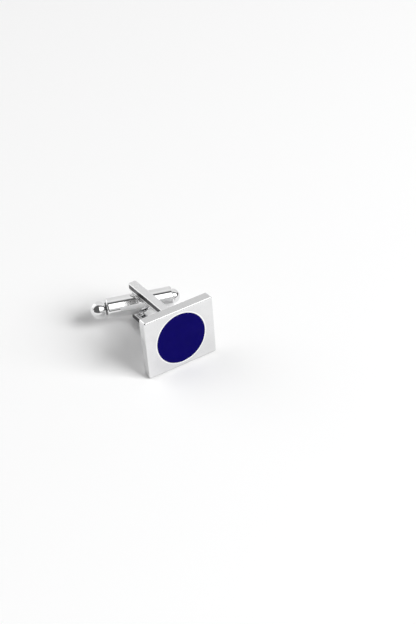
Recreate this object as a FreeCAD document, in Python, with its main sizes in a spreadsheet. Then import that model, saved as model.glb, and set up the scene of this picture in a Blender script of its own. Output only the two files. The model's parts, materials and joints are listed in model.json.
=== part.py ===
import FreeCAD, Part
import os

import Sketcher

# A swivel-back cufflink as it stands on a table: an enamelled face plate, a U-shaped arm brazed on its
# back, and a bullet toggle that turns on a rivet between the ends of the arm. It leans back until the
# arm's lower leg meets the table.
# Lengths are millimetres and angles degrees. Each piece is drawn upright: x runs to the right as seen
# from the front, y backwards from the face plate's back and z up the face. The toggle's pieces are
# drawn about the middle of the rivet, with the barrel along x.

SIZES = {
    # face plate and its inlay
    "face_width": "16.0",
    "face_height": "13.4",
    "face_thickness": "2.2",
    "face_corner_radius": "0.45",
    "face_front_round": "0.35",
    "face_back_round": "0.2",
    "enamel_diameter": "11.3",
    "enamel_depth": "0.7",
    "enamel_inset": "0.02",
    # U-shaped arm: a strip bent round at the web, with the legs one above the other
    "arm_width": "1.85",
    "arm_thickness": "1.6",
    "arm_inner_bend": "0.5",
    "arm_end_margin": "1.9",
    "arm_end_radius": "0.4",
    "arm_edge_round": "0.18",
    "arm_drop": "0.18",
    # brazed seam round the foot of the arm
    "solder_leg": "0.45",
    "solder_lip": "0.05",
    "solder_run": "0.8",
    # friction clip, nested inside the arm
    "clip_thickness": "0.4",
    "clip_width": "1.5",
    "clip_end_margin": "1.2",
    "clip_end_radius": "0.5",
    "clip_pin_clearance": "0.05",
    # rivet and the bush that turns on it
    "pin_reach": "15.0",
    "pin_diameter": "1.2",
    "pin_clearance": "0.03",
    "rivet_head_diameter": "1.6",
    "rivet_head_height": "0.16",
    "bush_diameter": "2.3",
    "bush_end_clearance": "0.03",
    # bullet toggle: a tube closed by a ball at one end and a low dome at the other
    "toggle_turn": "19.0",
    "barrel_diameter": "4.5",
    "barrel_length": "14.25",
    "barrel_shift": "0.275",
    "barrel_wall": "0.75",
    "barrel_end_round": "0.4",
    "barrel_side_gap": "0.11",
    "ball_diameter": "3.8",
    "ball_neck_inset": "0.6",
    "ball_neck_length": "0.19",
    "ball_spigot_length": "3.0",
    "nose_step": "0.65",
    "nose_rim_length": "0.2",
    "nose_dome_height": "1.41",
    "nose_spigot_length": "2.5",
}

# Sizes that follow from the ones above, each written once.
FITS = {
    "clip_gap": "=sizes.barrel_diameter + 2 * sizes.barrel_side_gap",
    "arm_gap": "=clip_gap + 2 * sizes.clip_thickness",
    "arm_span": "=arm_gap + 2 * sizes.arm_thickness",
    "arm_reach": "=sizes.pin_reach + sizes.arm_end_margin",
    "arm_outer_bend": "=sizes.arm_inner_bend + sizes.arm_thickness",
    "arm_flat_foot": "=arm_span - 2 * arm_outer_bend",
    "clip_outer_bend": "=sizes.arm_inner_bend + sizes.clip_thickness",
    "clip_reach": "=sizes.pin_reach + sizes.clip_end_margin",
    "clip_hole": "=sizes.pin_diameter + 2 * sizes.clip_pin_clearance",
    "bush_bore": "=sizes.pin_diameter + 2 * sizes.pin_clearance",
    "bush_length": "=clip_gap - 2 * sizes.bush_end_clearance",
    "barrel_bore": "=sizes.barrel_diameter - 2 * sizes.barrel_wall",
    "barrel_left": "=sizes.barrel_shift - sizes.barrel_length / 2",
    "barrel_right": "=sizes.barrel_shift + sizes.barrel_length / 2",
    "ball_radius": "=sizes.ball_diameter / 2",
    "neck_radius": "=ball_radius - sizes.ball_neck_inset",
    "neck_end": "=barrel_left - sizes.ball_neck_length",
    "ball_centre": "=neck_end - sqrt(ball_radius ^ 2 - neck_radius ^ 2)",
    "nose_radius": "=sizes.barrel_diameter / 2 - sizes.nose_step",
    "nose_rim_end": "=barrel_right + sizes.nose_rim_length",
    "nose_dome_radius": "=(nose_radius ^ 2 + sizes.nose_dome_height ^ 2) / (2 * sizes.nose_dome_height)",
    "nose_dome_centre": "=nose_rim_end + sizes.nose_dome_height - nose_dome_radius",
    "rivet_head_top": "=arm_span / 2 + sizes.rivet_head_height",
    "rivet_head_radius": "=sizes.rivet_head_diameter / 2",
    "rivet_dome_radius": "=(rivet_head_radius ^ 2 + sizes.rivet_head_height ^ 2) / (2 * sizes.rivet_head_height)",
    "rivet_dome_centre": "=rivet_head_top - rivet_dome_radius",
    # The table touches the rounded lower edges of the plate's back and of the lower leg's end.
    "stand_round_step": "=sizes.arm_edge_round - sizes.face_back_round",
    "stand_rise": "=(sizes.face_height - arm_span) / 2 - sizes.arm_drop + stand_round_step",
    "stand_run": "=arm_reach - stand_round_step",
    "lean": "=atan(stand_rise / stand_run) - asin(stand_round_step / sqrt(stand_rise ^ 2 + stand_run ^ 2))",
}

# Where the pieces stand: the plate and arm lean back about the middle of the plate's back, with the arm a
# little below that middle. The toggle is turned about the rivet as well.
LEAN_BACK = "rotation(vector(1; 0; 0); -fits.lean)"
TURN_TOGGLE = "rotation(vector(0; 0; 1); -sizes.toggle_turn)"
ARM_FOOT = "vector(0; -sizes.arm_drop * sin(fits.lean); -sizes.arm_drop * cos(fits.lean))"
ARM_LENGTHWAYS = "vector(0; sizes.pin_reach * cos(fits.lean); -sizes.pin_reach * sin(fits.lean))"
PIVOT = f"{ARM_FOOT} + {ARM_LENGTHWAYS}"
PLATE_PLACEMENT = f"placement(vector(0; 0; 0); {LEAN_BACK})"
ARM_PLACEMENT = f"placement({ARM_FOOT}; {LEAN_BACK})"
RIVET_PLACEMENT = f"placement({PIVOT}; {LEAN_BACK})"
TOGGLE_PLACEMENT = f"placement({PIVOT}; {LEAN_BACK} * {TURN_TOGGLE})"

# Sketcher's numbers for the ends and centre of an edge, and for the sketch's own origin.
START = 1
END = 2
CENTRE = 3
SKETCH_ORIGIN = -1

# Two points closer than this are the same point.
TOUCHING = 1e-6


def fill_sheet(name, cells):
    """Adds a spreadsheet with one aliased cell for each size."""
    sheet = doc.addObject("Spreadsheet::Sheet", name)
    for row, (alias, content) in enumerate(cells.items(), start=1):
        sheet.set(f"A{row}", content)
        sheet.setAlias(f"A{row}", alias)
    doc.recompute()
    return sheet


def value(expression):
    """The present value of an expression in the sheets' sizes."""
    return float(sizes.evalExpression(expression))


def new_body(name, placement):
    """Adds an empty body that stands at the given placement."""
    body = doc.addObject("PartDesign::Body", name)
    body.Label = name
    body.setExpression("Placement", placement)
    return body


def new_sketch(body, name, plane, height="0"):
    """Adds a sketch on one of the body's own planes, or raised off it."""
    sketch = body.newObject("Sketcher::SketchObject", f"{body.Name}_{name}")
    support = [feature for feature in body.Origin.OriginFeatures if feature.Role == plane]
    sketch.AttachmentSupport = [(support[0], "")]
    sketch.MapMode = "FlatFace"
    sketch.setExpression("AttachmentOffset.Base.z", height)
    return sketch


def bind(sketch, kind, places, expression):
    """Adds a dimension that follows an expression."""
    number = sketch.addConstraint(Sketcher.Constraint(kind, *places, value(expression)))
    sketch.setExpression(f"Constraints[{number}]", expression)


def bind_point(sketch, edge, end, place):
    """Ties one end of an edge to a place given as two expressions."""
    for kind, expression in zip(("DistanceX", "DistanceY"), place):
        bind(sketch, kind, (SKETCH_ORIGIN, START, edge, end), expression)


def point(place):
    """The present position of a place given as two expressions."""
    return FreeCAD.Vector(value(place[0]), value(place[1]), 0)


def draw_line(sketch, start, finish):
    """Draws a straight edge; returns it with its first and last end."""
    edge = sketch.addGeometry(Part.LineSegment(start, finish), False)
    return edge, START, END


def draw_arc(sketch, start, finish, centre, radius):
    """Draws the shorter arc about a centre; returns it with its first and last end."""
    middle = point(centre)
    normal = FreeCAD.Vector(0, 0, 1)
    turns_left = (start - middle).cross(finish - middle).z > 0
    first, last = (start, finish) if turns_left else (finish, start)
    circle = Part.Circle(middle, normal, value(radius))
    arc = Part.ArcOfCircle(circle, circle.parameter(first), circle.parameter(last))
    edge = sketch.addGeometry(arc, False)
    bind(sketch, "Radius", (edge,), radius)
    return (edge, START, END) if turns_left else (edge, END, START)


def draw_loop(sketch, corners, arcs=None):
    """Draws a closed loop through corners; arcs holds the centre and radius of each curved edge."""
    arcs = arcs or {}
    points = [point(corner) for corner in corners]
    edges = []
    for number, start in enumerate(points):
        finish = points[(number + 1) % len(points)]
        if number in arcs:
            edges.append(draw_arc(sketch, start, finish, *arcs[number]))
        else:
            edges.append(draw_line(sketch, start, finish))
    for number, (edge, first, last) in enumerate(edges):
        next_edge, next_first, _ = edges[(number + 1) % len(edges)]
        sketch.addConstraint(Sketcher.Constraint("Coincident", edge, last, next_edge, next_first))
        bind_point(sketch, edge, first, corners[number])


def draw_circle(sketch, place, diameter):
    """Draws a circle about a place given as two expressions."""
    circle = Part.Circle(point(place), FreeCAD.Vector(0, 0, 1), value(diameter) / 2)
    edge = sketch.addGeometry(circle, False)
    bind_point(sketch, edge, CENTRE, place)
    bind(sketch, "Diameter", (edge,), diameter)


def rectangle(half_width, half_height):
    """The corners of a rectangle about the sketch's origin."""
    return (
        (f"-({half_width})", f"-({half_height})"),
        (half_width, f"-({half_height})"),
        (half_width, half_height),
        (f"-({half_width})", half_height),
    )


def pad(body, sketch, length, side="One side", towards_back=False):
    """Raises a sketch into a solid."""
    feature = body.newObject("PartDesign::Pad", f"{sketch.Name}_pad")
    feature.Profile = sketch
    feature.setExpression("Length", length)
    feature.SideType = side
    feature.Reversed = towards_back
    doc.recompute()
    return feature


def pocket(body, sketch, depth=None):
    """Cuts a sketch into the solid, to a depth or, without one, right through both ways."""
    before = body.Shape.Volume
    feature = body.newObject("PartDesign::Pocket", f"{sketch.Name}_pocket")
    feature.Profile = sketch
    if depth:
        feature.setExpression("Length", depth)
    else:
        feature.Type = "ThroughAll"
        feature.SideType = "Symmetric"
    doc.recompute()
    if not body.Shape.Volume < before:
        raise RuntimeError(f"{feature.Name} cuts nothing")
    return feature


def revolve(body, sketch, axis):
    """Turns a half section about one of the sketch's axes."""
    feature = body.newObject("PartDesign::Revolution", f"{sketch.Name}_turned")
    feature.Profile = sketch
    feature.ReferenceAxis = (sketch, [axis])
    doc.recompute()
    return feature


def round_edges(body, base, name, radius, chosen):
    """Rounds the edges of a feature that a test picks."""
    edges = [f"Edge{number}" for number, edge in enumerate(base.Shape.Edges, start=1) if chosen(edge)]
    if not edges:
        raise RuntimeError(f"{body.Name} has no edge for {name}")
    feature = body.newObject("PartDesign::Fillet", f"{body.Name}_{name}")
    feature.Base = (base, edges)
    feature.setExpression("Radius", radius)
    doc.recompute()
    return feature


def span_along(edge, axis):
    """The lowest and highest reach of an edge along x, y or z."""
    box = edge.BoundBox
    return {
        "x": (box.XMin, box.XMax),
        "y": (box.YMin, box.YMax),
        "z": (box.ZMin, box.ZMax),
    }[axis]


def lies_at(edge, axis, *places):
    """Whether an edge lies in a plane square to an axis, at one of the places."""
    low, high = span_along(edge, axis)
    return any(abs(low - place) < TOUCHING and abs(high - place) < TOUCHING for place in places)


def runs_along(edge, axis):
    """Whether an edge is straight and parallel to an axis."""
    return all(
        abs(span_along(edge, other)[1] - span_along(edge, other)[0]) < TOUCHING
        for other in "xyz"
        if other != axis
    )


def build_face_plate():
    """The polished plate, with a round recess for the enamel."""
    body = new_body("face_plate", PLATE_PLACEMENT)
    outline = new_sketch(body, "outline", "XZ_Plane")
    draw_loop(outline, rectangle("sizes.face_width / 2", "sizes.face_height / 2"))
    solid = pad(body, outline, "sizes.face_thickness")
    solid = round_edges(body, solid, "corners", "sizes.face_corner_radius", lambda edge: runs_along(edge, "y"))
    front = -value("sizes.face_thickness")
    solid = round_edges(
        body, solid, "front_edge", "sizes.face_front_round", lambda edge: lies_at(edge, "y", front)
    )
    round_edges(body, solid, "back_edge", "sizes.face_back_round", lambda edge: lies_at(edge, "y", 0))
    recess = new_sketch(body, "recess", "XZ_Plane", "sizes.face_thickness")
    draw_circle(recess, ("0", "0"), "sizes.enamel_diameter")
    pocket(body, recess, "sizes.enamel_depth")
    return body


def build_enamel_disc():
    """The enamel, fused into the recess and polished almost level with the metal."""
    body = new_body("enamel_disc", PLATE_PLACEMENT)
    outline = new_sketch(body, "outline", "XZ_Plane", "sizes.face_thickness - sizes.enamel_depth")
    draw_circle(outline, ("0", "0"), "sizes.enamel_diameter")
    pad(body, outline, "sizes.enamel_depth - sizes.enamel_inset")
    return body


def build_bent_strip(name, foot, reach, span, thickness, width, bends, end_radius):
    """A strip bent into a U that opens backwards, with rounded leg ends."""
    body = new_body(name, ARM_PLACEMENT)
    outline = new_sketch(body, "outline", "YZ_Plane")
    inner_foot = f"{foot} + {thickness}"
    half_span = f"{span} / 2"
    half_gap = f"({span} / 2 - {thickness})"
    corners = (
        (reach, half_span),
        (foot, half_span),
        (foot, f"-{half_span}"),
        (reach, f"-{half_span}"),
        (reach, f"-{half_gap}"),
        (inner_foot, f"-{half_gap}"),
        (inner_foot, half_gap),
        (reach, half_gap),
    )
    draw_loop(outline, corners)
    solid = pad(body, outline, width, side="Symmetric")
    for bend, place, radius in zip(("outer_bends", "inner_bends"), (foot, inner_foot), bends):
        here = value(place)
        solid = round_edges(
            body,
            solid,
            bend,
            radius,
            lambda edge: runs_along(edge, "x") and lies_at(edge, "y", here),
        )
    tip = value(reach)
    solid = round_edges(
        body,
        solid,
        "leg_ends",
        end_radius,
        lambda edge: runs_along(edge, "z") and lies_at(edge, "y", tip),
    )
    return body, solid


def build_u_arm():
    """The arm: a thick strip whose web is brazed on the plate and whose legs hold the rivet."""
    body, solid = build_bent_strip(
        "u_arm",
        foot="0",
        reach="fits.arm_reach",
        span="fits.arm_span",
        thickness="sizes.arm_thickness",
        width="sizes.arm_width",
        bends=("fits.arm_outer_bend", "sizes.arm_inner_bend"),
        end_radius="sizes.arm_end_radius",
    )
    side = value("sizes.arm_width") / 2
    round_edges(body, solid, "side_edges", "sizes.arm_edge_round", lambda edge: lies_at(edge, "x", side, -side))
    holes = new_sketch(body, "rivet_holes", "XY_Plane")
    draw_circle(holes, ("0", "sizes.pin_reach"), "sizes.pin_diameter")
    pocket(body, holes)
    return body


def build_friction_clip():
    """The spring strip inside the arm, whose legs press on the ends of the bush."""
    body, _ = build_bent_strip(
        "friction_clip",
        foot="sizes.arm_thickness",
        reach="fits.clip_reach",
        span="fits.arm_gap",
        thickness="sizes.clip_thickness",
        width="sizes.clip_width",
        bends=("fits.clip_outer_bend", "sizes.arm_inner_bend"),
        end_radius="sizes.clip_end_radius",
    )
    holes = new_sketch(body, "rivet_holes", "XY_Plane")
    draw_circle(holes, ("0", "sizes.pin_reach"), "fits.clip_hole")
    pocket(body, holes)
    return body


def build_solder_fillet(arm):
    """The brazed seam: a sloping collar round the arm's foot, with the arm taken out of it."""
    collar = new_body("solder_collar", ARM_PLACEMENT)
    base = new_sketch(collar, "base", "XZ_Plane")
    draw_loop(
        base,
        rectangle("sizes.arm_width / 2 + sizes.solder_leg", "fits.arm_flat_foot / 2 + sizes.solder_run"),
    )
    top = new_sketch(collar, "top", "XZ_Plane", "-sizes.solder_leg")
    draw_loop(
        top,
        rectangle("sizes.arm_width / 2 + sizes.solder_lip", "fits.arm_flat_foot / 2 + sizes.solder_lip"),
    )
    slope = collar.newObject("PartDesign::AdditiveLoft", "solder_collar_slope")
    slope.Profile = base
    slope.Sections = [(top, [""])]
    slope.Ruled = True
    doc.recompute()
    fillet = doc.addObject("Part::Cut", "solder_fillet")
    fillet.Label = "solder_fillet"
    fillet.Base = collar
    fillet.Tool = arm
    doc.recompute()
    return fillet


def build_pivot_rivet():
    """The rivet, closed over both legs with low domed heads."""
    body = new_body("pivot_rivet", RIVET_PLACEMENT)
    section = new_sketch(body, "section", "XZ_Plane")
    shank = "sizes.pin_diameter / 2"
    seat = "fits.arm_span / 2"
    corners = (
        ("0", "fits.rivet_head_top"),
        ("0", "-fits.rivet_head_top"),
        ("fits.rivet_head_radius", f"-{seat}"),
        (shank, f"-{seat}"),
        (shank, seat),
        ("fits.rivet_head_radius", seat),
    )
    domes = {
        1: (("0", "-fits.rivet_dome_centre"), "fits.rivet_dome_radius"),
        5: (("0", "fits.rivet_dome_centre"), "fits.rivet_dome_radius"),
    }
    draw_loop(section, corners, domes)
    revolve(body, section, "V_Axis")
    return body


def build_pivot_bush():
    """The cross tube through the barrel that turns on the rivet."""
    body = new_body("pivot_bush", TOGGLE_PLACEMENT)
    ring = new_sketch(body, "ring", "XY_Plane")
    draw_circle(ring, ("0", "0"), "sizes.bush_diameter")
    draw_circle(ring, ("0", "0"), "fits.bush_bore")
    pad(body, ring, "fits.bush_length", side="Symmetric")
    return body


def build_toggle_barrel():
    """The tube of the bullet, bored across for the bush."""
    body = new_body("toggle_barrel", TOGGLE_PLACEMENT)
    ring = new_sketch(body, "ring", "YZ_Plane", "fits.barrel_left")
    draw_circle(ring, ("0", "0"), "sizes.barrel_diameter")
    draw_circle(ring, ("0", "0"), "fits.barrel_bore")
    solid = pad(body, ring, "sizes.barrel_length")
    ends = value("fits.barrel_left"), value("fits.barrel_right")
    outside = value("sizes.barrel_diameter")
    round_edges(
        body,
        solid,
        "ends",
        "sizes.barrel_end_round",
        lambda edge: lies_at(edge, "x", *ends) and abs(edge.BoundBox.YLength - outside) < TOUCHING,
    )
    cross = new_sketch(body, "bush_hole", "XY_Plane")
    draw_circle(cross, ("0", "0"), "sizes.bush_diameter")
    pocket(body, cross)
    return body


def build_ball_finial():
    """The ball with its neck and the spigot pressed into the barrel."""
    body = new_body("ball_finial", TOGGLE_PLACEMENT)
    section = new_sketch(body, "section", "XZ_Plane")
    seat = "fits.barrel_left"
    inner_end = f"{seat} + sizes.ball_spigot_length"
    corners = (
        (inner_end, "0"),
        (inner_end, "fits.barrel_bore / 2"),
        (seat, "fits.barrel_bore / 2"),
        (seat, "fits.neck_radius"),
        ("fits.neck_end", "fits.neck_radius"),
        ("fits.ball_centre - fits.ball_radius", "0"),
    )
    draw_loop(section, corners, {4: (("fits.ball_centre", "0"), "fits.ball_radius")})
    revolve(body, section, "H_Axis")
    return body


def build_nose_cap():
    """The low dome with a short rim, and its spigot pressed into the barrel."""
    body = new_body("nose_cap", TOGGLE_PLACEMENT)
    section = new_sketch(body, "section", "XZ_Plane")
    seat = "fits.barrel_right"
    inner_end = f"{seat} - sizes.nose_spigot_length"
    corners = (
        (inner_end, "0"),
        ("fits.nose_rim_end + sizes.nose_dome_height", "0"),
        ("fits.nose_rim_end", "fits.nose_radius"),
        (seat, "fits.nose_radius"),
        (seat, "fits.barrel_bore / 2"),
        (inner_end, "fits.barrel_bore / 2"),
    )
    draw_loop(section, corners, {1: (("fits.nose_dome_centre", "0"), "fits.nose_dome_radius")})
    revolve(body, section, "H_Axis")
    return body


def check_document():
    """Stops if any object of the document failed to build."""
    for item in doc.Objects:
        if "Invalid" in item.State or "Error" in item.State:
            raise RuntimeError(f"{item.Name} failed: {item.State}")


def write_pieces(pieces):
    """Writes each piece to its own file, once all are known to be sound."""
    for piece in pieces:
        if piece.Shape.isNull() or not piece.Shape.isValid() or not piece.Shape.Solids:
            raise RuntimeError(f"{piece.Label} has no sound solid")
    os.makedirs("parts", exist_ok=True)
    for piece in pieces:
        piece.Shape.exportStep(f"parts/{piece.Label}.step")
        print(f"{piece.Label}: {len(piece.Shape.Solids)} solid, {piece.Shape.Volume:.3f} mm3")


doc = FreeCAD.newDocument("cufflink")
sizes = fill_sheet("sizes", SIZES)
fits = fill_sheet("fits", FITS)

u_arm = build_u_arm()
pieces = [
    build_face_plate(),
    build_enamel_disc(),
    u_arm,
    build_solder_fillet(u_arm),
    build_friction_clip(),
    build_pivot_rivet(),
    build_pivot_bush(),
    build_toggle_barrel(),
    build_ball_finial(),
    build_nose_cap(),
]
doc.recompute()
check_document()
write_pieces(pieces)

pivot = pieces[-1].Placement.Base
print("lean in degrees:", fits.lean)
print("pivot:", [round(length, 4) for length in pivot])
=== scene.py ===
# %% [markdown]
# A swivel-back cufflink, dressed for its portrait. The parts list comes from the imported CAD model: a face
# plate with an enamel inlay, a bent arm brazed on its back, and a bullet toggle that turns on a rivet.
# Everything below is in metres and in the CAD model's own frame, so a new piece lies exactly where the
# solid lies that it stands for.

import json
import math

import bmesh
import bpy
from mathutils import Matrix, Vector, noise


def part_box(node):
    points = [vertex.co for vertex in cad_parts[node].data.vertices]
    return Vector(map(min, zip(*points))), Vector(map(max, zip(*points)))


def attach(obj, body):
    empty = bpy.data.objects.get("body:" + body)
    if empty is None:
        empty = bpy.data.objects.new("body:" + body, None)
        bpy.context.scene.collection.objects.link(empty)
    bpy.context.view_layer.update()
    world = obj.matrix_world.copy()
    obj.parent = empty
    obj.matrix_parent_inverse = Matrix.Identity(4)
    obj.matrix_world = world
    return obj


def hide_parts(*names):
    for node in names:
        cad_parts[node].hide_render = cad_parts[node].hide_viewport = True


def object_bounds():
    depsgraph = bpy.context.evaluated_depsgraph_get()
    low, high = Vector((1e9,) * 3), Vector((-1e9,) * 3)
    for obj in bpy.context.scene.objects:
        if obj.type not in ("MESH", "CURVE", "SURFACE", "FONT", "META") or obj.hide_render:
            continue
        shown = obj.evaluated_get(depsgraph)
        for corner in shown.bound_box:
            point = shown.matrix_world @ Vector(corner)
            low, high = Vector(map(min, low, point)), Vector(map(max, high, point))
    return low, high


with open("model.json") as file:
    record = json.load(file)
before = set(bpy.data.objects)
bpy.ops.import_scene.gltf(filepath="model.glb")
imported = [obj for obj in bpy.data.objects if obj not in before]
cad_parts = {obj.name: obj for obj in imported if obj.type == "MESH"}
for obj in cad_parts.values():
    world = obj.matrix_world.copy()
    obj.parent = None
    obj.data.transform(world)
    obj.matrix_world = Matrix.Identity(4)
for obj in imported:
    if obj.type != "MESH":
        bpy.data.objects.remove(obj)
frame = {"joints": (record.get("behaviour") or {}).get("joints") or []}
cad_low, cad_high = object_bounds()
scene = bpy.context.scene
scene.view_settings.view_transform = "Standard"
mm = 0.001
print("CAD box in mm:", [round(side / mm, 2) for side in cad_high - cad_low])

# %% [markdown]
# The cufflink leans back on its arm, and the toggle is turned a little about the rivet. The joint of the
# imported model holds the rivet's place and direction, so the lean is read from it and not typed again. Each
# piece is modelled upright, where its sizes are easy to read, and is then set in place by one of four
# matrices.

# %% Where the pieces stand
swivel = frame["joints"][0]
rivet_axis = Vector(swivel["axis"])
rivet_middle = Vector(swivel["pos_m"])
lean = math.atan2(rivet_axis.y, rivet_axis.z)
toggle_turn = math.radians(19)
arm_drop = 0.18 * mm

plate_place = Matrix.Rotation(-lean, 4, "X")
arm_place = plate_place @ Matrix.Translation((0, 0, -arm_drop))
rivet_place = Matrix.Translation(rivet_middle) @ plate_place
toggle_place = rivet_place @ Matrix.Rotation(-toggle_turn, 4, "Z")
print("lean in degrees:", round(math.degrees(lean), 3))

# %% [markdown]
# Every new piece ends the same way: doubles are merged, faces are turned outwards, the mesh is set in its
# place, the frame is told which body it rides on, and the solid that it stands for is hidden. Polished metal
# shows each flaw of the shading. So flat faces keep their own direction by weighted normals, and only the
# narrow rounds between them bend the light.

# %% Finish a piece
touching = 0.0002 * mm
sharp_angle = math.radians(50)


def finish_piece(shape, name, node, body, place):
    """Closes a mesh, sets it in place and hands it to the frame."""
    bmesh.ops.remove_doubles(shape, verts=shape.verts, dist=touching)
    bmesh.ops.recalc_face_normals(shape, faces=shape.faces)
    shape.transform(place)
    mesh = bpy.data.meshes.new(name)
    shape.to_mesh(mesh)
    shape.free()
    mesh.shade_smooth()
    mesh.set_sharp_from_angle(angle=sharp_angle)
    piece = bpy.data.objects.new(name, mesh)
    scene.collection.objects.link(piece)
    even_normals = piece.modifiers.new("flat faces stay flat", "WEIGHTED_NORMAL")
    even_normals.keep_sharp = True
    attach(piece, body)
    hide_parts(node)
    print_fit(piece, node)
    return piece


def print_fit(piece, node):
    """Prints how far a piece reaches past the solid that it stands for."""
    low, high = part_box(node)
    places = [vertex.co for vertex in piece.data.vertices]
    below = max(low[axis] - min(place[axis] for place in places) for axis in range(3))
    above = max(max(place[axis] for place in places) - high[axis] for axis in range(3))
    print(f"{piece.name}: {len(piece.data.polygons)} faces, {max(below, above) / mm:+.3f} mm past {node}")


# %% [markdown]
# Two small tools shape most of the pieces. A bevel rounds edges as a fillet does. Round pieces are drawn as
# half a section, along x and away from it, and spun once round, as on a lathe. An arc in such a section is
# itself made by spinning one point about the arc's middle.

# %% Bevel and lathe
lathe_steps = 128
round_profile_share = 0.5
quarter_turn = math.pi / 2
x_axis, y_axis, z_axis = range(3)


def bevel(shape, parts, radius, segments, kind="EDGES"):
    """Rounds edges, or the corners of a drawn line."""
    bmesh.ops.bevel(
        shape,
        geom=parts,
        offset=radius,
        affect=kind,
        segments=segments,
        profile=round_profile_share,
        material=-1,
        clamp_overlap=True,
    )


def draw_line(shape, places, start=None):
    """Joins places of a half section by edges; returns their points."""
    row = [start] if start else []
    row += [shape.verts.new((along, 0, away)) for along, away in places]
    for pair in zip(row, row[1:]):
        shape.edges.new(pair)
    return row


def swing(shape, point, middle, angle, steps):
    """Swings a point about a middle on the axis, which leaves an arc behind; returns the arc's end."""
    swung = bmesh.ops.spin(shape, geom=[point], cent=(middle, 0, 0), axis=(0, 1, 0), angle=angle, steps=steps)
    return swung["geom_last"][0]


def turn_on_lathe(shape):
    """Spins a half section once round the x axis."""
    section = list(shape.verts) + list(shape.edges)
    bmesh.ops.spin(
        shape, geom=section, cent=(0, 0, 0), axis=(1, 0, 0), angle=math.tau, steps=lathe_steps, use_merge=True
    )


# %% [markdown]
# The face plate is a small slab of plated brass. Its corners and edges are rounded by the polishing wheel,
# and a round recess is sunk in its front for the enamel. A cube is stretched, its edges are bevelled in the
# order in which the solid's were, and the recess is extruded from a circle in the front. The mouth of the
# recess gets a hair-fine bevel of its own, which catches the light as a thin bright ring. A highlight
# painted into the plating makes that ring wider and whiter.

# %% Face plate
face_width = 16.0 * mm
face_height = 13.4 * mm
face_thickness = 2.2 * mm
face_corner_radius = 0.45 * mm
face_front_round = 0.35 * mm
face_back_round = 0.2 * mm
face_round_steps = 8
face_back_steps = 6
recess_radius = 5.65 * mm
recess_depth = 0.7 * mm
recess_lip = 0.03 * mm
recess_lip_steps = 3


def lies_in(edge, axis, place):
    """Whether both ends of an edge are at a place along an axis."""
    return all(abs(end.co[axis] - place) < touching for end in edge.verts)


def runs_along(edge, axis):
    """Whether an edge is parallel to an axis."""
    span = edge.verts[1].co - edge.verts[0].co
    return abs(abs(span[axis]) - span.length) < touching


def model_face_plate():
    """A rounded slab with a round recess in its front."""
    shape = bmesh.new()
    stretch = Matrix.Diagonal((face_width, face_thickness, face_height, 1))
    bmesh.ops.create_cube(shape, size=1, matrix=Matrix.Translation((0, -face_thickness / 2, 0)) @ stretch)
    corners = [edge for edge in shape.edges if runs_along(edge, y_axis)]
    bevel(shape, corners, face_corner_radius, face_round_steps)
    front_edges = [edge for edge in shape.edges if lies_in(edge, y_axis, -face_thickness)]
    bevel(shape, front_edges, face_front_round, face_round_steps)
    back_edges = [edge for edge in shape.edges if lies_in(edge, y_axis, 0)]
    bevel(shape, back_edges, face_back_round, face_back_steps)
    sink_recess(shape)
    return shape


def sink_recess(shape):
    """Opens the front, fills it again round a circle, and extrudes the recess from that circle."""
    front = min(shape.faces, key=lambda face: face.calc_center_median().y)
    rim = list(front.edges)
    bmesh.ops.delete(shape, geom=[front], context="FACES_ONLY")
    facing = Matrix.Translation((0, -face_thickness, 0)) @ Matrix.Rotation(quarter_turn, 4, "X")
    circle = bmesh.ops.create_circle(shape, radius=recess_radius, segments=lathe_steps, matrix=facing)
    mouth = list({edge for point in circle["verts"] for edge in point.link_edges})
    bmesh.ops.triangle_fill(shape, use_beauty=True, edges=rim + mouth, normal=(0, -1, 0))
    wall = bmesh.ops.extrude_edge_only(shape, edges=mouth)["geom"]
    floor_ring = [part for part in wall if isinstance(part, bmesh.types.BMVert)]
    bmesh.ops.translate(shape, verts=floor_ring, vec=(0, recess_depth, 0))
    bmesh.ops.contextual_create(shape, geom=[edge for edge in shape.edges if edge.is_boundary])
    bevel(shape, mouth, recess_lip, recess_lip_steps)


face_plate = finish_piece(
    model_face_plate(), "polished_face", "face_plate", "face_and_arm", plate_place
)

# %% [markdown]
# The enamel is glass powder, melted in the recess and stoned almost level with the metal. Surface tension
# leaves its rim a little rounded where it meets the wall. A half section with one rounded corner, turned on
# the lathe, gives the flat top and the soft rim.

# %% Enamel inlay
enamel_inset = 0.02 * mm
enamel_rim = 0.03 * mm
enamel_rim_steps = 6
enamel_back = face_thickness - recess_depth
enamel_front = face_thickness - enamel_inset
x_to_front = Matrix.Rotation(-quarter_turn, 4, "Z")


def model_enamel():
    """A disc with a softly rounded front rim."""
    shape = bmesh.new()
    section = (
        (enamel_front, 0),
        (enamel_front, recess_radius),
        (enamel_back, recess_radius),
        (enamel_back, 0),
    )
    corners = draw_line(shape, section)
    bevel(shape, [corners[1]], enamel_rim, enamel_rim_steps, "VERTICES")
    turn_on_lathe(shape)
    return shape


enamel = finish_piece(
    model_enamel(), "enamel_inlay", "enamel_disc", "face_and_arm", plate_place @ x_to_front
)

# %% [markdown]
# The arm is one strip of metal bent into a U, with its web on the plate and its two legs running back. A
# U-shaped outline is pushed out to the strip's width. Then the bends, the leg ends and last the long edges
# are bevelled, as a maker would bend, file and polish it. The spring clip inside is the same kind of strip,
# thinner and narrower, so one function makes both.

# %% Bent strips
arm_width = 1.85 * mm
arm_thickness = 1.6 * mm
arm_span = 8.72 * mm
arm_reach = 16.9 * mm
arm_end_radius = 0.4 * mm
arm_edge_round = 0.18 * mm
inner_bend = 0.5 * mm
outer_bend_steps, inner_bend_steps = 14, 8
clip_width = 1.5 * mm
clip_thickness = 0.4 * mm
clip_reach = 16.2 * mm
clip_end_radius = 0.5 * mm
clip_edge_round = 0.06 * mm
leg_end_steps = 10
strip_edge_steps = 5
long_edge_angle = math.radians(60)


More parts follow.
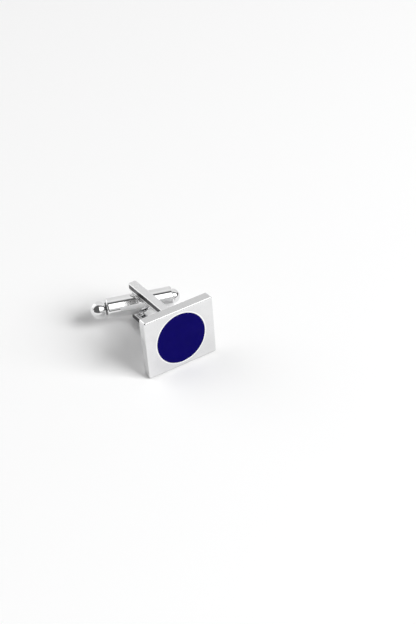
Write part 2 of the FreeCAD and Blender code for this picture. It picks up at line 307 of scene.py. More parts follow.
def model_bent_strip(foot, reach, span, thickness, width, end_radius, edge_round):
    """A strip bent into a U that opens backwards, with rounded leg ends and edges."""
    shape = bmesh.new()
    push_out_outline(shape, foot, reach, span / 2, thickness, width)
    outer = (foot, inner_bend + thickness, outer_bend_steps)
    inner = (foot + thickness, inner_bend, inner_bend_steps)
    for place, radius, segments in (outer, inner):
        bends = [edge for edge in shape.edges if runs_along(edge, x_axis) and lies_in(edge, y_axis, place)]
        bevel(shape, bends, radius, segments)
    leg_corners = [edge for edge in shape.edges if runs_along(edge, z_axis) and lies_in(edge, y_axis, reach)]
    bevel(shape, leg_corners, end_radius, leg_end_steps)
    long_edges = [edge for edge in shape.edges if edge.calc_face_angle(0) > long_edge_angle]
    bevel(shape, long_edges, edge_round, strip_edge_steps)
    return shape


def push_out_outline(shape, foot, reach, top, thickness, width):
    """Draws the U from the side and extrudes it to the strip's width."""
    inside = top - thickness
    inner_foot = foot + thickness
    outline = (
        (reach, top),
        (foot, top),
        (foot, -top),
        (reach, -top),
        (reach, -inside),
        (inner_foot, -inside),
        (inner_foot, inside),
        (reach, inside),
    )
    side = shape.faces.new([shape.verts.new((-width / 2, y, z)) for y, z in outline])
    pushed = bmesh.ops.extrude_face_region(shape, geom=[side])["geom"]
    far_side = [part for part in pushed if isinstance(part, bmesh.types.BMVert)]
    bmesh.ops.translate(shape, verts=far_side, vec=(width, 0, 0))
    bmesh.ops.recalc_face_normals(shape, faces=shape.faces)


bent_arm = finish_piece(
    model_bent_strip(0, arm_reach, arm_span, arm_thickness, arm_width, arm_end_radius, arm_edge_round),
    "bent_arm",
    "u_arm",
    "face_and_arm",
    arm_place,
)
arm_gap = arm_span - 2 * arm_thickness
spring_clip = finish_piece(
    model_bent_strip(
        arm_thickness, clip_reach, arm_gap, clip_thickness, clip_width, clip_end_radius, clip_edge_round
    ),
    "spring_clip",
    "friction_clip",
    "face_and_arm",
    arm_place,
)

# %% [markdown]
# Silver solder runs into the corner between the arm's web and the plate and freezes there as a hollow
# fillet with a slightly wavy edge. A rounded rectangle is extruded in steps. Each step is smaller and
# higher than the one before, on a quarter of a circle, and a little noise draws the edge in here and there.

# %% Brazed seam
solder_leg = 0.45 * mm
solder_lip = 0.05 * mm
solder_run = 0.8 * mm
solder_corner = 0.35 * mm
solder_wave_share = 0.09
solder_wave_size = 0.7 * mm
solder_steps = 9
solder_corner_steps = 6
solder_side_cuts = 24
arm_flat_foot = arm_span - 2 * (inner_bend + arm_thickness)


def model_solder():
    """A hollow collar round the foot of the arm."""
    shape = bmesh.new()
    upright = Matrix.Rotation(-quarter_turn, 4, "X")
    bmesh.ops.create_grid(shape, x_segments=1, y_segments=1, size=1, matrix=upright)
    wide, high = solder_spread(0)
    bmesh.ops.scale(shape, vec=(wide, 1, high), verts=shape.verts)
    bevel(shape, list(shape.verts), solder_corner, solder_corner_steps, "VERTICES")
    long_sides = [edge for edge in shape.edges if edge.calc_length() > solder_corner]
    bmesh.ops.subdivide_edges(shape, edges=long_sides, cuts=solder_side_cuts)
    for step in range(1, solder_steps + 1):
        raise_collar(shape, step)
    draw_in_edge(shape)
    return shape


def solder_spread(step):
    """Half the collar's width and height at one step of its hollow section."""
    run_share = 1 - math.sin(quarter_turn * step / solder_steps)
    wide = arm_width / 2 + solder_lip + (solder_leg - solder_lip) * run_share
    high = arm_flat_foot / 2 + solder_lip + (solder_run - solder_lip) * run_share
    return wide, high


def raise_collar(shape, step):
    """Extrudes the top face of the collar by one step."""
    top = max(shape.faces, key=lambda face: face.calc_center_median().y)
    pushed = bmesh.ops.extrude_face_region(shape, geom=[top])["geom"]
    ring = [part for part in pushed if isinstance(part, bmesh.types.BMVert)]
    before, after = solder_spread(step - 1), solder_spread(step)
    bmesh.ops.scale(shape, vec=(after[0] / before[0], 1, after[1] / before[1]), verts=ring)
    rise_share = 1 - math.cos(quarter_turn * step / solder_steps)
    lift = rise_share * solder_leg - ring[0].co.y
    bmesh.ops.translate(shape, vec=(0, lift, 0), verts=ring)


def draw_in_edge(shape):
    """Pulls the wetted edge in by an uneven amount, most of all at the plate."""
    for point in shape.verts:
        sway_share = (1 + noise.noise(point.co / solder_wave_size)) / 2
        share = solder_wave_share * sway_share * (1 - point.co.y / solder_leg)
        point.co.x *= 1 - share
        point.co.z *= 1 - share / 2


seam = finish_piece(model_solder(), "brazed_seam", "solder_fillet", "face_and_arm", arm_place)

# %% [markdown]
# The rivet is a plain pin whose ends were spread into low domes over the arm's legs. The bush is the short
# tube that turns on it. Both are turned pieces, so both are drawn as half a section.

# %% Rivet and bush
pin_radius = 0.6 * mm
rivet_head_radius = 0.8 * mm
rivet_head_height = 0.16 * mm
rivet_head_round = 0.05 * mm
rivet_dome_steps = 10
rivet_edge_steps = 3
bush_radius = 1.15 * mm
bush_bore_radius = 0.63 * mm
bush_half_length = 2.33 * mm
bush_edge_round = 0.08 * mm
bush_edge_steps = 4
x_to_top = Matrix.Rotation(-quarter_turn, 4, "Y")


def model_rivet():
    """A pin with a low domed head at each end."""
    shape = bmesh.new()
    seat = arm_span / 2
    dome_radius = (rivet_head_radius**2 + rivet_head_height**2) / (2 * rivet_head_height)
    dome_middle = seat + rivet_head_height - dome_radius
    dome_angle = math.asin(rivet_head_radius / dome_radius)
    corners = draw_line(
        shape,
        (
            (-seat, rivet_head_radius),
            (-seat, pin_radius),
            (seat, pin_radius),
            (seat, rivet_head_radius),
        ),
    )
    swing(shape, corners[0], -dome_middle, -dome_angle, rivet_dome_steps)
    swing(shape, corners[-1], dome_middle, dome_angle, rivet_dome_steps)
    bevel(shape, [corners[0], corners[-1]], rivet_head_round, rivet_edge_steps, "VERTICES")
    turn_on_lathe(shape)
    return shape


def model_tube(ends, bore_radius, radius, end_round, end_steps):
    """A tube with rounded ends."""
    shape = bmesh.new()
    low, high = ends
    corners = draw_line(shape, ((low, bore_radius), (low, radius), (high, radius), (high, bore_radius)))
    shape.edges.new((corners[-1], corners[0]))
    bevel(shape, corners[1:3], end_round, end_steps, "VERTICES")
    turn_on_lathe(shape)
    return shape


rivet = finish_piece(
    model_rivet(), "closed_rivet", "pivot_rivet", "face_and_arm", rivet_place @ x_to_top
)
bush_ends = (-bush_half_length, bush_half_length)
bush = finish_piece(
    model_tube(bush_ends, bush_bore_radius, bush_radius, bush_edge_round, bush_edge_steps),
    "turning_bush",
    "pivot_bush",
    "toggle",
    toggle_place @ x_to_top,
)

# %% [markdown]
# The bullet toggle is three turned pieces pressed together: a tube, a ball on a short neck at one end, and a
# low dome at the other. The tube is made like the bush. The dark ring beside the ball and the fine line
# beside the dome are the joints between the three, where each piece keeps its own rounded edge. Painted
# shade in the plating darkens both joints further.

# %% Bullet toggle
barrel_radius = 2.25 * mm
barrel_left = -6.85 * mm
barrel_right = 7.4 * mm
barrel_bore_radius = 1.5 * mm
barrel_end_round = 0.4 * mm
barrel_end_steps = 8
ball_radius = 1.9 * mm
ball_steps = 48
neck_radius = 1.3 * mm
neck_length = 0.19 * mm
neck_round = 0.08 * mm
neck_steps = 4
ball_spigot_length = 3.0 * mm
nose_radius = 1.6 * mm
nose_rim_length = 0.2 * mm
nose_dome_height = 1.41 * mm
nose_dome_steps = 32
nose_edge_round = 0.08 * mm
nose_edge_steps = 5
nose_spigot_length = 2.5 * mm


def model_ball():
    """A ball on a short neck, with the spigot that sits in the tube."""
    shape = bmesh.new()
    neck_end = barrel_left - neck_length
    ball_middle = neck_end - math.sqrt(ball_radius**2 - neck_radius**2)
    pole = shape.verts.new((ball_middle - ball_radius, 0, 0))
    round_angle = math.pi - math.asin(neck_radius / ball_radius)
    ball_end = swing(shape, pole, ball_middle, round_angle, ball_steps)
    draw_line(
        shape,
        (
            (barrel_left, neck_radius),
            (barrel_left, barrel_bore_radius),
            (barrel_left + ball_spigot_length, barrel_bore_radius),
            (barrel_left + ball_spigot_length, 0),
        ),
        ball_end,
    )
    bevel(shape, [ball_end], neck_round, neck_steps, "VERTICES")
    turn_on_lathe(shape)
    return shape


def model_nose():
    """A low dome on a short rim, with the spigot that sits in the tube."""
    shape = bmesh.new()
    rim_end = barrel_right + nose_rim_length
    dome_radius = (nose_radius**2 + nose_dome_height**2) / (2 * nose_dome_height)
    dome_middle = rim_end + nose_dome_height - dome_radius
    corners = draw_line(
        shape,
        (
            (barrel_right - nose_spigot_length, 0),
            (barrel_right - nose_spigot_length, barrel_bore_radius),
            (barrel_right, barrel_bore_radius),
            (barrel_right, nose_radius),
            (rim_end, nose_radius),
        ),
    )
    dome_angle = math.asin(nose_radius / dome_radius)
    swing(shape, corners[-1], dome_middle, dome_angle, nose_dome_steps)
    bevel(shape, corners[3:], nose_edge_round, nose_edge_steps, "VERTICES")
    turn_on_lathe(shape)
    return shape


barrel_ends = (barrel_left, barrel_right)
barrel = finish_piece(
    model_tube(barrel_ends, barrel_bore_radius, barrel_radius, barrel_end_round, barrel_end_steps),
    "toggle_tube",
    "toggle_barrel",
    "toggle",
    toggle_place,
)
ball = finish_piece(model_ball(), "ball_end", "ball_finial", "toggle", toggle_place)
nose = finish_piece(model_nose(), "nose_dome", "nose_cap", "toggle", toggle_place)

# %% [markdown]
# All finishes are built from nodes. They read Object coordinates, turned into the axes in which the piece
# was drawn, so a grain can run along a strip or round a tube. Sizes of grain are given as lengths, because
# that is how one judges them on the real thing.

# %% Tools for finishes
noise_low_share, noise_high_share = 0.3, 0.7
# The sockets of a Mix node that carry colours.
first_colour, second_colour, mixed_colour = 6, 7, 2


def new_finish(name):
    """A material with one shader that shows on the surface."""
    finish = bpy.data.materials.new(name)
    finish.use_nodes = True
    tree = finish.node_tree
    tree.nodes.clear()
    output = tree.nodes.new("ShaderNodeOutputMaterial")
    shader = tree.nodes.new("ShaderNodeBsdfPrincipled")
    tree.links.new(shader.outputs["BSDF"], output.inputs["Surface"])
    return finish, tree, shader


def own_axes(tree, place):
    """Object coordinates in the axes in which a piece was drawn."""
    coordinates = tree.nodes.new("ShaderNodeTexCoord")
    turn = tree.nodes.new("ShaderNodeMapping")
    back = place.inverted()
    turn.inputs["Location"].default_value = back.translation
    turn.inputs["Rotation"].default_value = back.to_euler()
    tree.links.new(coordinates.outputs["Object"], turn.inputs["Vector"])
    return turn.outputs["Vector"]


def grain(tree, axes, lengths, detail):
    """Noise whose patches have the given lengths along the three axes."""
    stretch = tree.nodes.new("ShaderNodeMapping")
    stretch.inputs["Scale"].default_value = [1 / length for length in lengths]
    tree.links.new(axes, stretch.inputs["Vector"])
    patches = tree.nodes.new("ShaderNodeTexNoise")
    patches.inputs["Scale"].default_value = 1
    patches.inputs["Detail"].default_value = detail
    tree.links.new(stretch.outputs["Vector"], patches.inputs["Vector"])
    return patches.outputs["Fac"]


def spread(tree, amount, low, high):
    """A noise amount spread over a range of values."""
    fit = tree.nodes.new("ShaderNodeMapRange")
    fit.inputs["From Min"].default_value = noise_low_share
    fit.inputs["From Max"].default_value = noise_high_share
    fit.inputs["To Min"].default_value = low
    fit.inputs["To Max"].default_value = high
    tree.links.new(amount, fit.inputs["Value"])
    return fit.outputs["Result"]


def shades(tree, amount, dark, light):
    """A noise amount turned into a colour between two shades."""
    ramp = tree.nodes.new("ShaderNodeValToRGB")
    ramp.color_ramp.elements[0].position = noise_low_share
    ramp.color_ramp.elements[0].color = (*dark, 1)
    ramp.color_ramp.elements[1].position = noise_high_share
    ramp.color_ramp.elements[1].color = (*light, 1)
    tree.links.new(amount, ramp.inputs["Fac"])
    return ramp.outputs["Color"]


def relief(tree, amount, depth):
    """Bumps of a given depth."""
    bump = tree.nodes.new("ShaderNodeBump")
    bump.inputs["Distance"].default_value = depth
    tree.links.new(amount, bump.inputs["Height"])
    return bump.outputs["Normal"]


def step_up(tree, amount, place, edge):
    """0 below a place and 1 above it, with a soft edge; a negative edge turns the step over."""
    ease = tree.nodes.new("ShaderNodeMapRange")
    ease.interpolation_type = "SMOOTHSTEP"
    ease.inputs["From Min"].default_value = place - edge
    ease.inputs["From Max"].default_value = place + edge
    tree.links.new(amount, ease.inputs["Value"])
    return ease.outputs["Result"]


def combine(tree, operation, first, second):
    """One value worked out from two."""
    result = tree.nodes.new("ShaderNodeMath")
    result.operation = operation
    tree.links.new(first, result.inputs[0])
    tree.links.new(second, result.inputs[1])
    return result.outputs["Value"]


def blend(tree, mask, first, second):
    """The first colour, turned into the second where the mask is 1."""
    mix = tree.nodes.new("ShaderNodeMix")
    mix.data_type = "RGBA"
    tree.links.new(mask, mix.inputs["Factor"])
    tree.links.new(first, mix.inputs[first_colour])
    mix.inputs[second_colour].default_value = (*second, 1)
    return mix.outputs[mixed_colour]


def parted(tree, axes):
    """The three numbers of a place."""
    split = tree.nodes.new("ShaderNodeSeparateXYZ")
    tree.links.new(axes, split.inputs["Vector"])
    return split.outputs


def dress(piece, finish):
    """Gives a piece its one finish."""
    piece.data.materials.clear()
    piece.data.materials.append(finish)
    print(f"{piece.name}: {finish.name}, {len(finish.node_tree.nodes)} nodes")


# %% [markdown]
# The bright metal is rhodium plating over polished brass. It is a clean, slightly grey white. Close up the
# polish is never perfect: soft clouds where the wheel pressed more or less, and hairlines that run along
# the stroke. The clouds vary colour and gloss, and the hairlines are a very shallow relief. The plate was
# polished flat, the arm along its length, and the toggle round its axis, so each has its own stroke.

# %% Bright plating
plating_dark = (0.8, 0.8, 0.803)
plating_light = (0.84, 0.84, 0.843)
cloud_size = 1.8 * mm
plating_detail = 3.0
hairline_depth = 0.0002 * mm


def bright_plating(name, place, stroke, gloss, patches=()):
    """Rhodium plating with clouds and hairlines along the stroke, and patches, most of painted light and
    shade.
    """
    finish, tree, shader = new_finish(name)
    axes = own_axes(tree, place)
    clouds = grain(tree, axes, (cloud_size, cloud_size, cloud_size), plating_detail)
    hairlines = grain(tree, axes, stroke, plating_detail)
    colour = shades(tree, clouds, plating_dark, plating_light)
    dullness = spread(tree, clouds, *gloss)
    for mask_of, patch_colour, patch_dullness in patches:
        mask = mask_of(tree, axes)
        colour = blend(tree, mask, colour, patch_colour)
        dullness = combine(tree, "MAXIMUM", dullness, share_of(tree, mask, patch_dullness))
    shader.inputs["Metallic"].default_value = 1
    tree.links.new(colour, shader.inputs["Base Color"])
    tree.links.new(dullness, shader.inputs["Roughness"])
    tree.links.new(relief(tree, hairlines, hairline_depth), shader.inputs["Normal"])
    return finish


def share_of(tree, mask, amount):
    """An amount where the mask is 1, and nothing where it is 0."""
    fit = tree.nodes.new("ShaderNodeMapRange")
    fit.inputs["To Max"].default_value = amount
    tree.links.new(mask, fit.inputs["Value"])
    return fit.outputs["Result"]


# %% [markdown]
# Some places look different from the rest of the plating, and most of them carry painted light or shade.
# A narrow white ring round the enamel is a painted highlight. The flats of the plate's edges are painted
# a little greyer than its face as shade, the upper and lower ones most. The rounded lower edge of its front
# carries a thin grey line of painted shade. The back is satin, and painted near white as painted light.
# The arm was cut from sheet. Its sides are dull and dark grey, between an outer border that keeps the
# plating and an inner border painted white as a highlight line. The grooves at the toggle's two ends are
# painted dark as shade.

# %% Patches in the plating
rim_width = 0.3 * mm
rim_edge = 0.03 * mm
edge_flat_depth = 0.02 * mm
edge_flat_blur = 0.01 * mm
foot_height = 0.32 * mm
foot_edge = 0.06 * mm
satin_depth = 0.1 * mm
side_band_depth = 0.04 * mm
side_mask_edge = 0.02 * mm
polished_border = 0.23 * mm
highlight_border_width = 0.38 * mm
groove_reach = 0.06 * mm
groove_edge = 0.06 * mm
groove_radius = 1.45 * mm


def distance_across(tree, axes, kept):
    """How far a place is from the middle, along those directions for which kept is 1."""
    flatten = tree.nodes.new("ShaderNodeMapping")
    flatten.inputs["Scale"].default_value = kept
    tree.links.new(axes, flatten.inputs["Vector"])
    distance = tree.nodes.new("ShaderNodeVectorMath")
    distance.operation = "LENGTH"
    tree.links.new(flatten.outputs["Vector"], distance.inputs[0])
    return distance.outputs["Value"]


def rim_highlight_mask(tree, axes):
    """1 on the narrow ring round the enamel, where a white highlight is painted."""
    distance = distance_across(tree, axes, (1, 0, 1))
    inside = step_up(tree, distance, recess_radius, rim_edge)
    outside = step_up(tree, distance, recess_radius + rim_width, rim_edge)
    return combine(tree, "SUBTRACT", inside, outside)


def edge_flat_shade_mask(tree, axes):
    """1 on the flat of the plate's upper and lower edges, where shade is painted."""
    upwards = distance_across(tree, axes, (0, 0, 1))
    return step_up(tree, upwards, face_height / 2 - edge_flat_depth, edge_flat_blur)


def side_flat_shade_mask(tree, axes):
    """1 on the flat of the plate's left and right edges, where shade is painted."""
    sideways = distance_across(tree, axes, (1, 0, 0))
    return step_up(tree, sideways, face_width / 2 - edge_flat_depth, edge_flat_blur)


def foot_shade_mask(tree, axes):
    """1 on the rounded lower edge of the plate's front, where a thin line of shade is painted."""
    return step_up(tree, parted(tree, axes)["Z"], foot_height - face_height / 2, -foot_edge)


def satin_back(tree, axes):
    """1 on the plate's back, which is satin and painted near white as light."""
    return step_up(tree, parted(tree, axes)["Y"], -satin_depth, satin_depth / 2)


def arm_sides(tree, axes):
    """1 on the two sides of the arm's strip."""
    sideways = distance_across(tree, axes, (1, 0, 0))
    return step_up(tree, sideways, arm_width / 2 - side_band_depth, side_mask_edge)


def dark_side_mask(tree, axes):
    """1 on the arm's two sides, short of their rounded outer edges."""
    upwards = distance_across(tree, axes, (0, 0, 1))
    on_border = step_up(tree, upwards, arm_span / 2 - polished_border, side_mask_edge)
    return combine(tree, "SUBTRACT", arm_sides(tree, axes), on_border)


def border_highlight_mask(tree, axes):
    """1 on the inner borders of the arm's two sides, where a highlight line is painted white."""
    upwards = distance_across(tree, axes, (0, 0, 1))
    inside_legs = step_up(tree, upwards, arm_span / 2 - arm_thickness + highlight_border_width, -side_mask_edge)
    behind_web = step_up(tree, parted(tree, axes)["Y"], arm_thickness - highlight_border_width, side_mask_edge)
    inside = combine(tree, "MULTIPLY", inside_legs, behind_web)
    return combine(tree, "MULTIPLY", arm_sides(tree, axes), inside)


def groove_shade_mask(tree, axes):
    """1 in the grooves beside the ball and the dome, where shade is painted."""
    along = parted(tree, axes)["X"]
    outside = step_up(tree, distance_across(tree, axes, (0, 1, 1)), groove_radius, groove_edge)
    masks = []
    for first, last in ((barrel_left - neck_length, barrel_left), (barrel_right, barrel_right)):
        begun = step_up(tree, along, first - groove_reach, groove_edge)
        ended = step_up(tree, along, last + groove_reach, groove_edge)
        masks.append(combine(tree, "SUBTRACT", begun, ended))
    return combine(tree, "SUBTRACT", combine(tree, "MAXIMUM", *masks), outside)


face_stroke = (1.4 * mm, 0.5 * mm, 0.05 * mm)
arm_stroke = (0.05 * mm, 2.5 * mm, 0.05 * mm)
toggle_stroke = (0.05 * mm, 1.5 * mm, 1.5 * mm)
face_gloss = (0.1, 0.14)
arm_gloss = (0.06, 0.12)
rivet_gloss = (0.1, 0.18)
toggle_gloss = (0.02, 0.04)
# Each patch is a mask, a colour and a dullness.
# Painted highlight: a white ring round the enamel.
painted_rim_highlight = (rim_highlight_mask, (1, 1, 1), 0.0)
# Painted shade: greyer flats on the plate's upper and lower edges, and a little on its sides.
painted_edge_shade = (edge_flat_shade_mask, (0.7, 0.7, 0.703), 0.16)
painted_side_shade = (side_flat_shade_mask, (0.79, 0.79, 0.793), 0.12)
# Painted shade: a thin grey line on the lower front edge.
painted_foot_shade = (foot_shade_mask, (0.62, 0.62, 0.62), 0.2)
# Satin back, its near-white colour painted light.
satin_and_painted_light = (satin_back, (0.97, 0.97, 0.973), 0.8)
# The arm's sides are painted dark grey, short of their outer borders.
dark_arm_sides = (dark_side_mask, (0.1, 0.1, 0.104), 0.32)
# Painted highlight: a white line on the inner borders of the arm's sides.
painted_border_highlight = (border_highlight_mask, (1, 1, 1), 0.5)
# Painted shade: dark grooves at the toggle's two ends.
painted_groove_shade = (groove_shade_mask, (0.25, 0.25, 0.25), 0.25)
face_patches = (painted_rim_highlight, painted_edge_shade, painted_side_shade, painted_foot_shade, satin_and_painted_light)
dress(face_plate, bright_plating("plated face", plate_place, face_stroke, face_gloss, face_patches))
dress(bent_arm, bright_plating("plated arm", arm_place, arm_stroke, arm_gloss, (dark_arm_sides, painted_border_highlight)))
dress(rivet, bright_plating("plated rivet", rivet_place, toggle_stroke, rivet_gloss))
toggle_plating = bright_plating("plated toggle", toggle_place, toggle_stroke, toggle_gloss, (painted_groove_shade,))
for piece in (barrel, ball, nose):
    dress(piece, toggle_plating)

# %% [markdown]
# The enamel is a deep, clear-surfaced blue. Real enamel is not one flat colour: it holds faint clouds from
# the firing and a surface that ripples very gently. Its gloss is kept low, because the stoned surface
# throws back far less than the metal round it.

# %% Blue enamel
enamel_dark = (0.0014, 0.0003, 0.076)
enamel_light = (0.0021, 0.0005, 0.087)
enamel_cloud = 2.4 * mm
enamel_ripple = 1.1 * mm
enamel_ripple_depth = 0.0008 * mm
enamel_cloud_detail, enamel_ripple_detail = 4.0, 1.0
enamel_gloss = (0.06, 0.14)
enamel_mirror_share = 0.035


def blue_enamel():
    """Fired enamel with faint clouds and a gentle ripple."""
    finish, tree, shader = new_finish("blue enamel")
    axes = own_axes(tree, plate_place)
    clouds = grain(tree, axes, (enamel_cloud, enamel_cloud, enamel_cloud), enamel_cloud_detail)
    ripple = grain(tree, axes, (enamel_ripple, enamel_ripple, enamel_ripple), enamel_ripple_detail)
    shader.inputs["Specular IOR Level"].default_value = enamel_mirror_share
    tree.links.new(shades(tree, clouds, enamel_dark, enamel_light), shader.inputs["Base Color"])
    tree.links.new(spread(tree, clouds, *enamel_gloss), shader.inputs["Roughness"])
    tree.links.new(relief(tree, ripple, enamel_ripple_depth), shader.inputs["Normal"])
    return finish


dress(enamel, blue_enamel())

# %% [markdown]
# Three small pieces have plainer finishes. The spring clip is bright steel strip with draw lines along its
# length, the bush is turned and nickel plated, with fine rings, and the solder is a satin silver with a
# pitted skin.

# %% Plain metals
metal_detail = 4.0
spring_shades = ((0.7, 0.7, 0.71), (0.82, 0.82, 0.83))
nickel_shades = ((0.55, 0.55, 0.55), (0.68, 0.68, 0.68))
solder_shades = ((0.52, 0.52, 0.51), (0.7, 0.7, 0.69))
spring_gloss = (0.06, 0.12)
nickel_gloss = (0.15, 0.3)
solder_gloss = (0.3, 0.45)
draw_lines = (0.06 * mm, 3.0 * mm, 0.06 * mm)
turning_rings = (1.5 * mm, 1.5 * mm, 0.06 * mm)
solder_skin = (0.18 * mm, 0.18 * mm, 0.18 * mm)
line_depth = 0.001 * mm
skin_depth = 0.012 * mm


def plain_metal(name, place, dark_and_light, lengths, depth, gloss):
    """A metal with one grain, which shows in its colour, gloss and relief."""
    finish, tree, shader = new_finish(name)
    axes = own_axes(tree, place)
    lines = grain(tree, axes, lengths, metal_detail)
    shader.inputs["Metallic"].default_value = 1
    tree.links.new(shades(tree, lines, *dark_and_light), shader.inputs["Base Color"])
    tree.links.new(spread(tree, lines, *gloss), shader.inputs["Roughness"])
    tree.links.new(relief(tree, lines, depth), shader.inputs["Normal"])
    return finish


spring = plain_metal("spring strip", arm_place, spring_shades, draw_lines, line_depth, spring_gloss)
nickel = plain_metal("turned nickel", toggle_place, nickel_shades, turning_rings, line_depth, nickel_gloss)
solder = plain_metal("silver solder", arm_place, solder_shades, solder_skin, skin_depth, solder_gloss)
for piece, finish in ((spring_clip, spring), (bush, nickel), (seam, solder)):
    dress(piece, finish)

# %% [markdown]
# The stage is a sheet of white card on a table. It is much larger than the cufflink, so that it fills the
# picture and also shows in the metal. It stays matt, so all that it adds is the soft shadow.

# %% Floor
floor_half_width = 1.5
floor_white = (0.95, 0.95, 0.95, 1)
floor_roughness = 0.9


def lay_floor():
    """A flat white sheet at the height of the cufflink's lowest point."""
    shape = bmesh.new()
    level = Matrix.Translation((0, 0, cad_low.z))
    bmesh.ops.create_grid(shape, x_segments=1, y_segments=1, size=floor_half_width, matrix=level)
    mesh = bpy.data.meshes.new("white_card")
    shape.to_mesh(mesh)
    shape.free()
    sheet = bpy.data.objects.new("white_card", mesh)
    scene.collection.objects.link(sheet)
    return sheet


def matt_white():
    """Plain white card that mirrors nothing."""
    finish, _, shader = new_finish("white card")
    shader.inputs["Base Color"].default_value = floor_white
    shader.inputs["Roughness"].default_value = floor_roughness
    shader.inputs["Specular IOR Level"].default_value = 0
    return finish


dress(lay_floor(), matt_white())
print("floor at", round(cad_low.z / mm, 3), "mm")

# %% [markdown]
# Two large softboxes light the table. The main one stands in front on the right and draws a wide, soft
# shadow to the left and backwards. The second one stands behind on the left. It is weaker, so that it only
# lifts the shadow and leaves a faint one in front. The metal doesn't mirror the softboxes themselves: it
# mirrors the room of the next step, which can be arranged stripe by stripe.

# %% Light
softbox_distance = 1.5
main_azimuth, main_elevation = math.radians(34), math.radians(36)
main_side, main_watts = 0.97, 27.4
back_azimuth, back_elevation = math.radians(-145), math.radians(36)
back_side, back_watts = 1.4, 6.5


def towards(azimuth, elevation):
    """The direction of a place seen from the cufflink; azimuth 0 is in front of the plate."""
    level = math.cos(elevation)
    return Vector((math.sin(azimuth) * level, -math.cos(azimuth) * level, math.sin(elevation)))


def stand_softbox(name, direction, side, watts):
    """A square lamp that faces the cufflink."""
    lamp = bpy.data.lights.new(name, "AREA")
    lamp.shape = "SQUARE"
    lamp.size = side
    lamp.energy = watts
    box = bpy.data.objects.new(name, lamp)
    box.location = direction * softbox_distance
    box.rotation_euler = (-direction).to_track_quat("-Z", "Y").to_euler()
    box.visible_camera = False
    box.visible_glossy = False
    scene.collection.objects.link(box)


stand_softbox("main softbox", towards(main_azimuth, main_elevation), main_side, main_watts)
stand_softbox("back softbox", towards(back_azimuth, back_elevation), back_side, back_watts)
print("softboxes", main_watts, "W and", back_watts, "W")

# %% [markdown]
# Polished metal is only as good as the room that it mirrors. This one is told as it is seen along the
# toggle: a pale table, a dark skirting, a grey wall, a bright window front, a dark beam under the ceiling
# and a pale wall behind. Each is a stripe along the toggle's axis, so the tube shows them as long straight
# lines. Four patches break them: a dark wall far on the right, a dark screen before the window, a second
# pane behind on the left and a slim grey stand beside the screen. So the ball shows a dark shape between
# two bright ones and a dark line at its neck, and the tube turns grey on the left of the arm. Heights are
# degrees round the toggle, and sides run along it, from -1 on the left to 1 on the right.

# %% Room
room_fill = 0.26
pale, skirting, grey, window, beam, ceiling, back_wall = 0.9, 0.2, 0.7, 2.2, 0.12, 0.93, 0.84
room_stripes = (
    (-180, pale),
    (-4, pale),
    (-2, skirting),
    (8, skirting),
    (13, grey),
    (26, grey),
    (31, window),
    (76, window),
    (82, beam),
    (97, beam),
    (104, ceiling),
    (124, ceiling),
    (136, back_wall),
    (180, back_wall),
)
full_turn = 360
height_edge = 3.6
wall_patches = (
    {"shade": 0.1, "sides": (0.9, 1.2), "heights": (-200, 200), "edge": 0.05},
    {"shade": 0.12, "sides": (-0.97, 0.04), "heights": (8, 106), "edge": 0.05},
    {"shade": 1.3, "sides": (-0.8, -0.3), "heights": (122, 176), "edge": 0.05},
    {"shade": 0.16, "sides": (0.1055, 0.1185), "heights": (16, 88), "edge": 0.0015},
)


def room_axes(tree):
    """The direction of a ray in axes that point to the front, up and along the toggle."""
    along = toggle_place.to_3x3().col[0]
    front = along.cross(Vector((0, 0, 1))).normalized()
    turned = Matrix((front, front.cross(along), -along))
    direction = tree.nodes.new("ShaderNodeTexCoord")
    turn = tree.nodes.new("ShaderNodeMapping")
    turn.inputs["Rotation"].default_value = turned.to_euler()
    tree.links.new(direction.outputs["Generated"], turn.inputs["Vector"])
    return turn.outputs["Vector"]


def turn_share(degrees):
    """The share of a full turn, as the stripes count it."""
    return (degrees + full_turn / 2) / full_turn


def stripes(tree, axes):
    """Shades that change with the angle round the toggle, from the table in front up and over."""
    angle = tree.nodes.new("ShaderNodeTexGradient")
    angle.gradient_type = "RADIAL"
    tree.links.new(axes, angle.inputs["Vector"])
    ramp = tree.nodes.new("ShaderNodeValToRGB")
    for degrees, shade in room_stripes[1:-1]:
        ramp.color_ramp.elements.new(turn_share(degrees)).color = (shade, shade, shade, 1)
    for end in (0, -1):
        shade = room_stripes[end][1]
        ramp.color_ramp.elements[end].color = (shade, shade, shade, 1)
    tree.links.new(angle.outputs["Fac"], ramp.inputs["Fac"])
    return angle.outputs["Fac"], ramp.outputs["Color"]


def patch_of_wall(tree, axes, angle, patch):
    """1 on a patch between two sides, along the toggle, and two heights, round it."""
    leftwards = parted(tree, axes)["Z"]
    left, right = patch["sides"]
    right_side = step_up(tree, leftwards, -right, patch["edge"])
    beyond_left = step_up(tree, leftwards, -left, patch["edge"])
    across = combine(tree, "SUBTRACT", right_side, beyond_left)
    low, high = patch["heights"]
    begun = step_up(tree, angle, turn_share(low), height_edge / full_turn)
    ended = step_up(tree, angle, turn_share(high), height_edge / full_turn)
    return combine(tree, "MULTIPLY", across, combine(tree, "SUBTRACT", begun, ended))


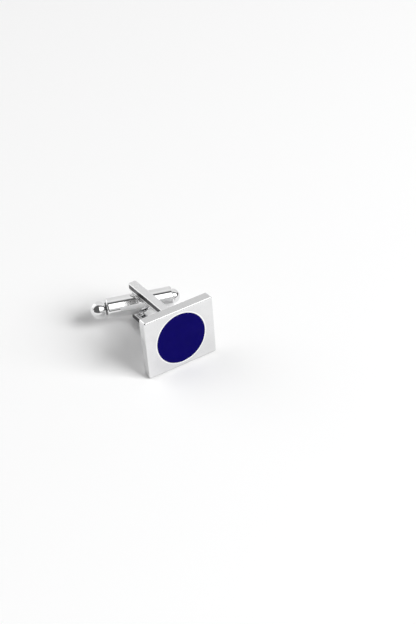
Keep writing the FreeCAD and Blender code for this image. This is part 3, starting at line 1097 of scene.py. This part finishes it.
def plain_white(tree, strength):
    """An even white light from all sides."""
    glow = tree.nodes.new("ShaderNodeBackground")
    glow.inputs["Color"].default_value = (1, 1, 1, 1)
    glow.inputs["Strength"].default_value = strength
    return glow.outputs["Background"]


def choose(tree, mask, first, second):
    """The first light, or the second where the mask is 1."""
    mix = tree.nodes.new("ShaderNodeMixShader")
    tree.links.new(mask, mix.inputs["Fac"])
    tree.links.new(first, mix.inputs[1])
    tree.links.new(second, mix.inputs[2])
    return mix.outputs["Shader"]


def furnish_room():
    """A world whose walls show in the metal, with an even fill for matt things and a white background."""
    room = bpy.data.worlds.new("pale studio")
    room.use_nodes = True
    tree = room.node_tree
    tree.nodes.clear()
    axes = room_axes(tree)
    angle, walls = stripes(tree, axes)
    for patch in wall_patches:
        mask = patch_of_wall(tree, axes, angle, patch)
        shade = patch["shade"]
        walls = blend(tree, mask, walls, (shade, shade, shade))
    seen = tree.nodes.new("ShaderNodeBackground")
    tree.links.new(walls, seen.inputs["Color"])
    path = tree.nodes.new("ShaderNodeLightPath")
    mirrored = combine(tree, "MAXIMUM", path.outputs["Is Glossy Ray"], path.outputs["Is Transmission Ray"])
    lit = choose(tree, mirrored, plain_white(tree, room_fill), seen.outputs["Background"])
    shown = choose(tree, path.outputs["Is Camera Ray"], lit, plain_white(tree, 1))
    output = tree.nodes.new("ShaderNodeOutputWorld")
    tree.links.new(shown, output.inputs["Surface"])
    return room


scene.world = furnish_room()
print("room fill", room_fill)

# %% [markdown]
# The camera looks down on the cufflink from the front left, with a long lens. Its place was found by
# matching the corners of the plate and the outline of the enamel.

# %% Camera
camera_place = Vector((-104.92, -171.43, 170.34)) * mm
camera_aim = Vector((0.42489, 0.64589, -0.63427))
camera_lens = 75
camera_near = 0.01
lens = bpy.data.cameras.new("camera")
lens.lens = camera_lens
lens.clip_start = camera_near
camera = bpy.data.objects.new("camera", lens)
camera.location = camera_place
camera.rotation_euler = camera_aim.to_track_quat("-Z", "Y").to_euler()
scene.collection.objects.link(camera)
scene.camera = camera
print("camera", round(camera_place.length / mm, 1), "mm away")
